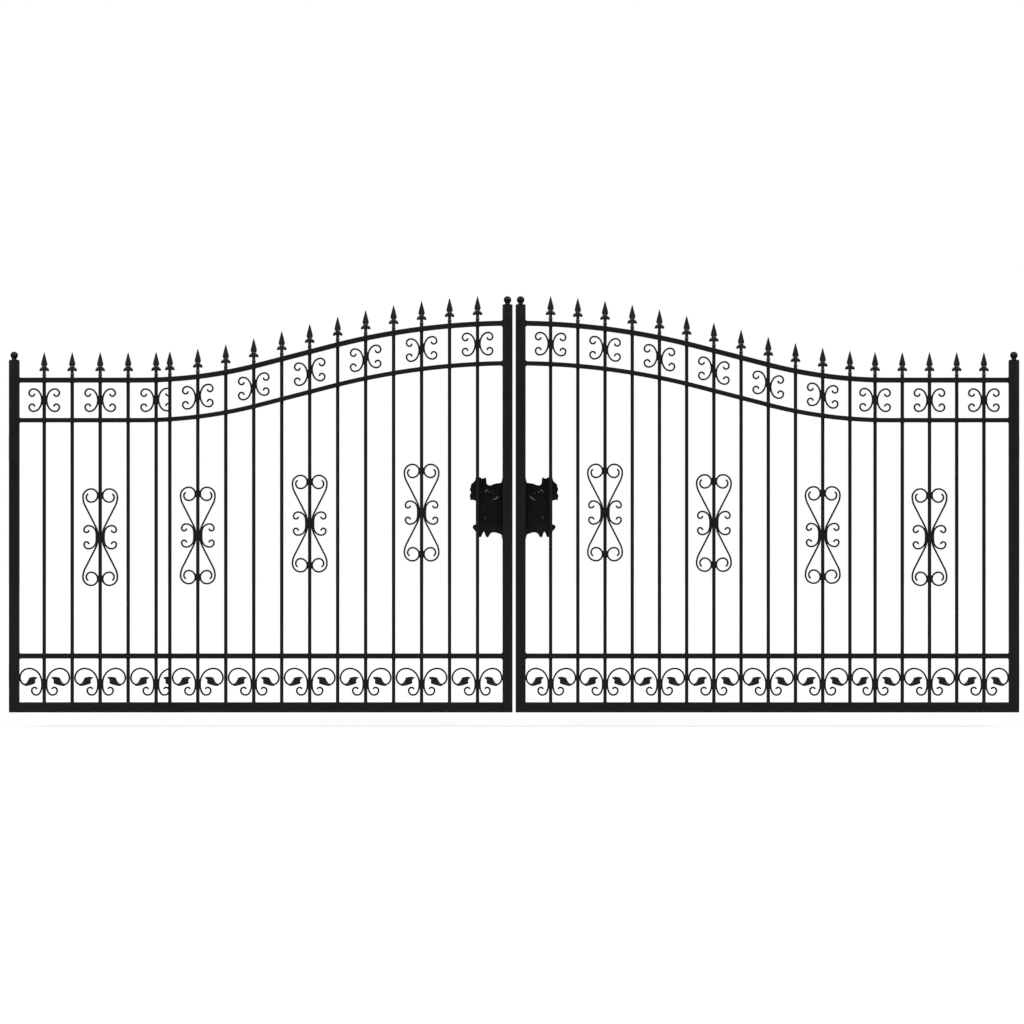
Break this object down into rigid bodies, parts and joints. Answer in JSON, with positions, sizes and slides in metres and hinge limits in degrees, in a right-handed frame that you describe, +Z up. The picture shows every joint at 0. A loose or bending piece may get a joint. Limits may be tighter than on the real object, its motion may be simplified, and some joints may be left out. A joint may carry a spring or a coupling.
{
  "type": "double-leaf garden gate",
  "caption": "Arched double-leaf ornamental steel gate with spear finials, scroll infill, cast lock plates, hinges, latch bolt and drop bolt.",
  "frame": {"origin": "middle of the closed opening, in the leaf plane, at the underside of the leaves", "axes": "+X along the gate to the right as seen from the street, +Y towards the garden side that the leaves open to, +Z up"},
  "size_m": [5.025, 0.166, 2.0676],
  "materials": {
    "painted_black": "satin black powder coat over welded steel",
    "cast_black": "satin black powder coat over cast iron, slightly grainy",
    "zinc_plated": "dull zinc plate",
    "bronze": "oiled bronze",
    "plastic_black": "matt moulded plastic"
  },
  "bodies": {
    "root": {"left_hinge_brackets": "painted_black", "left_hinge_pins": "zinc_plated", "left_thrust_washers": "bronze", "right_hinge_brackets": "painted_black", "right_hinge_pins": "zinc_plated", "right_thrust_washers": "bronze"},
    "left_leaf": {"left_hinge_stile": "painted_black", "left_meeting_stile": "painted_black", "left_bottom_rail": "painted_black", "left_lower_rail": "painted_black", "left_band_rail": "painted_black", "left_top_rail": "painted_black", "left_pickets": "painted_black", "left_spear_finials": "cast_black", "left_ball_caps": "cast_black", "left_stile_plugs": "plastic_black", "left_band_scrolls": "painted_black", "left_panel_scrolls": "painted_black", "left_inner_scrolls": "painted_black", "left_vine_scrolls": "painted_black", "left_vine_leaves": "cast_black", "left_lock_plate": "cast_black", "left_hinge_eyes": "painted_black", "latch_guides": "painted_black"},
    "right_leaf": {"right_hinge_stile": "painted_black", "right_meeting_stile": "painted_black", "right_bottom_rail": "painted_black", "right_lower_rail": "painted_black", "right_band_rail": "painted_black", "right_top_rail": "painted_black", "right_pickets": "painted_black", "right_spear_finials": "cast_black", "right_ball_caps": "cast_black", "right_stile_plugs": "plastic_black", "right_band_scrolls": "painted_black", "right_panel_scrolls": "painted_black", "right_inner_scrolls": "painted_black", "right_vine_scrolls": "painted_black", "right_vine_leaves": "cast_black", "right_lock_plate": "cast_black", "right_hinge_eyes": "painted_black", "latch_keeper": "painted_black", "drop_bolt_guides": "painted_black"},
    "latch_bolt": {"latch_bolt": "zinc_plated"},
    "drop_bolt": {"drop_bolt": "zinc_plated"}
  },
  "joints": [
    {"name": "left_hinge", "type": "hinge", "parent": "root", "child": "left_leaf", "pos_m": [-2.4825, 0.05, 0.2], "axis": [0, 0, 1], "range_deg": [0, 90]},
    {"name": "right_hinge", "type": "hinge", "parent": "root", "child": "right_leaf", "pos_m": [2.4825, 0.05, 0.2], "axis": [0, 0, -1], "range_deg": [0, 90]},
    {"name": "latch_slide", "type": "slide", "parent": "left_leaf", "child": "latch_bolt", "axis": [1, 0, 0], "range_m": [0, 0.055]},
    {"name": "drop_slide", "type": "slide", "parent": "right_leaf", "child": "drop_bolt", "axis": [0, 0, -1], "range_m": [0, 0.12]}
  ]
}
